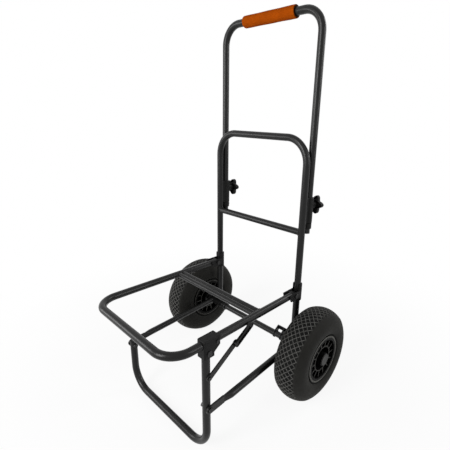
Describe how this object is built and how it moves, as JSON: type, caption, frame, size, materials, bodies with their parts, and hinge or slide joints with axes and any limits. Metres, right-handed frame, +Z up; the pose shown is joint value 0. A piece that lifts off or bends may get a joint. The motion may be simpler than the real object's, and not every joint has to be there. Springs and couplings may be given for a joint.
{
  "type": "folding hand truck",
  "caption": "Folding hand truck of bent steel tube with large foam tyres, a fold-up platform on a swinging leg, and a sliding handle held by clamp knobs.",
  "frame": {"origin": "middle of the bounding box, on the ground under the wheels and the foot bar", "axes": "+X along the axle to the side of the leg's hinge, +Y to the back where the handle is, +Z up"},
  "size_m": [0.568, 0.5248, 0.9991],
  "materials": {
    "black_paint": "satin black powder coat",
    "black_plastic": "matt moulded plastic",
    "zinc_steel": "blacked zinc plated steel",
    "orange_foam": "matt closed-cell foam",
    "tyre_foam": "matt foam-filled tyre",
    "rim_plastic": "dark moulded plastic",
    "cap_plastic": "dark grey moulded plastic"
  },
  "bodies": {
    "back_frame": {"back_frame_tube": "black_paint", "back_crossbar": "black_paint", "upright_plugs": "black_plastic", "axle_bracket_left": "black_paint", "axle_bracket_right": "black_paint", "rear_pivot_bracket_left": "black_plastic", "rear_pivot_bracket_right": "black_plastic", "rear_pivot_bolts": "zinc_steel", "rear_pivot_nuts": "zinc_steel", "handle_guide_left": "black_plastic", "handle_guide_right": "black_plastic", "axle_rod": "zinc_steel", "axle_spacers": "black_plastic", "axle_washers": "zinc_steel", "axle_clips": "zinc_steel"},
    "handle": {"handle_tube": "black_paint", "handle_grip": "orange_foam", "handle_end_caps": "black_plastic", "handle_guide_clips": "black_plastic", "clip_rivets": "zinc_steel"},
    "knob_left": {"clamp_knob_left": "black_plastic", "knob_stud_left": "zinc_steel"},
    "knob_right": {"clamp_knob_right": "black_plastic", "knob_stud_right": "zinc_steel"},
    "platform": {"platform_tube": "black_paint", "platform_cross_tubes": "black_paint", "rail_end_plugs": "black_plastic", "leg_bracket": "black_plastic", "leg_bracket_screw": "zinc_steel", "leg_pivot_bolt": "zinc_steel", "leg_pivot_nut": "zinc_steel", "brace_lug": "black_paint", "brace_lug_rivet": "zinc_steel"},
    "leg": {"leg_tube": "black_paint", "leg_top_plug": "black_plastic", "leg_stub_cap": "black_plastic", "tie_bolts": "zinc_steel", "tie_nuts": "zinc_steel", "brace_leg_rivet": "zinc_steel"},
    "lower_frame": {"lower_bar_left": "black_paint", "lower_bar_right": "black_paint", "axle_tube": "black_paint"},
    "brace_upper": {"brace_upper_link": "black_paint", "brace_knee_rivet": "zinc_steel"},
    "brace_lower": {"brace_lower_link": "black_paint"},
    "wheel_left": {"wheel_tyre_left": "tyre_foam", "wheel_rim_left": "rim_plastic", "wheel_bearings_left": "zinc_steel", "wheel_hub_cap_left": "cap_plastic"},
    "wheel_right": {"wheel_tyre_right": "tyre_foam", "wheel_rim_right": "rim_plastic", "wheel_bearings_right": "zinc_steel", "wheel_hub_cap_right": "cap_plastic"}
  },
  "joints": [
    {"name": "platform_fold", "type": "hinge", "parent": "back_frame", "child": "platform", "pos_m": [0, 0.14359, 0.27943], "axis": [-1, 0, 0], "range_deg": [0, 79]},
    {"name": "leg_swing", "type": "hinge", "parent": "platform", "child": "leg", "pos_m": [0, -0.16494, 0.28685], "axis": [-1, 0, 0], "range_deg": [-79, 0]},
    {"name": "lower_frame_swing", "type": "hinge", "parent": "back_frame", "child": "lower_frame", "pos_m": [0, 0.13051, 0.13], "axis": [-1, 0, 0], "range_deg": [0, 79]},
    {"name": "brace_upper_swing", "type": "hinge", "parent": "platform", "child": "brace_upper", "pos_m": [0, -0.04205, 0.29165], "axis": [-1, 0, 0], "range_deg": [0, 111.47]},
    {"name": "brace_lower_swing", "type": "hinge", "parent": "leg", "child": "brace_lower", "pos_m": [0, -0.17056, 0.22259], "axis": [-1, 0, 0], "range_deg": [0, 53.26]},
    {"name": "handle_slide", "type": "slide", "parent": "back_frame", "child": "handle", "axis": [0, 0.0872, 0.9962], "range_m": [-0.136, 0]},
    {"name": "knob_left_turn", "type": "hinge", "parent": "back_frame", "child": "knob_left", "pos_m": [-0.163, 0.20704, 0.52282], "axis": [0, 0.9962, -0.0872], "range_deg": [0, 360]},
    {"name": "knob_right_turn", "type": "hinge", "parent": "back_frame", "child": "knob_right", "pos_m": [0.163, 0.20704, 0.52282], "axis": [0, 0.9962, -0.0872], "range_deg": [0, 360]},
    {"name": "wheel_left_spin", "type": "hinge", "parent": "back_frame", "child": "wheel_left", "pos_m": [-0.238, 0.13051, 0.13], "axis": [-1, 0, 0], "continuous": true},
    {"name": "wheel_right_spin", "type": "hinge", "parent": "back_frame", "child": "wheel_right", "pos_m": [0.238, 0.13051, 0.13], "axis": [-1, 0, 0], "continuous": true}
  ],
  "couplings": [
    {"joint": "leg_swing", "follows": "platform_fold", "ratio": -1},
    {"joint": "lower_frame_swing", "follows": "platform_fold", "ratio": 1},
    {"joint": "brace_upper_swing", "follows": "platform_fold", "ratio": 1.411},
    {"joint": "brace_lower_swing", "follows": "platform_fold", "ratio": 0.67418}
  ]
}
